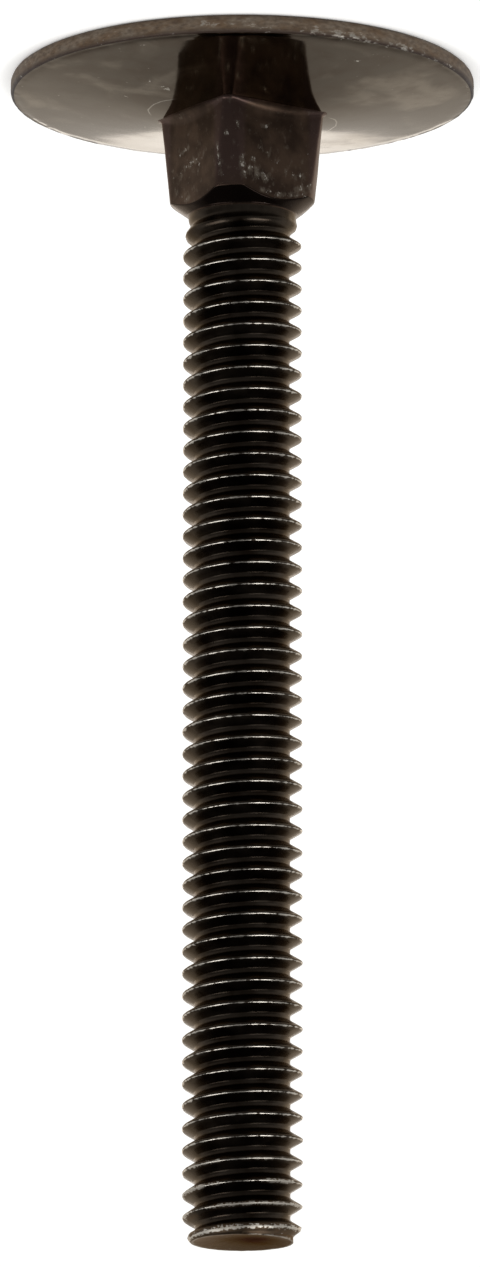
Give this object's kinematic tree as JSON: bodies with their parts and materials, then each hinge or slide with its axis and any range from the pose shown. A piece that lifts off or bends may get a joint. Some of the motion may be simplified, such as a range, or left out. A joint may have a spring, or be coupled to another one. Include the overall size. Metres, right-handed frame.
{
  "type": "flat countersunk head elevator bolt",
  "caption": "Wide thin flat head on a tapered square neck and a long fully threaded shank with a bevelled point, in dark oiled steel.",
  "frame": {"origin": "centre of the flat head face, where the bolt stands on the ground", "axes": "+Z along the shank from the head to the point; X and Y are square to two pairs of the neck's flats"},
  "size_m": [0.0296, 0.0296, 0.0755],
  "materials": {
    "black_oxide_steel": "black oxide with an oil film"
  },
  "bodies": {
    "root": {"elevator_bolt": "black_oxide_steel"}
  },
  "joints": []
}
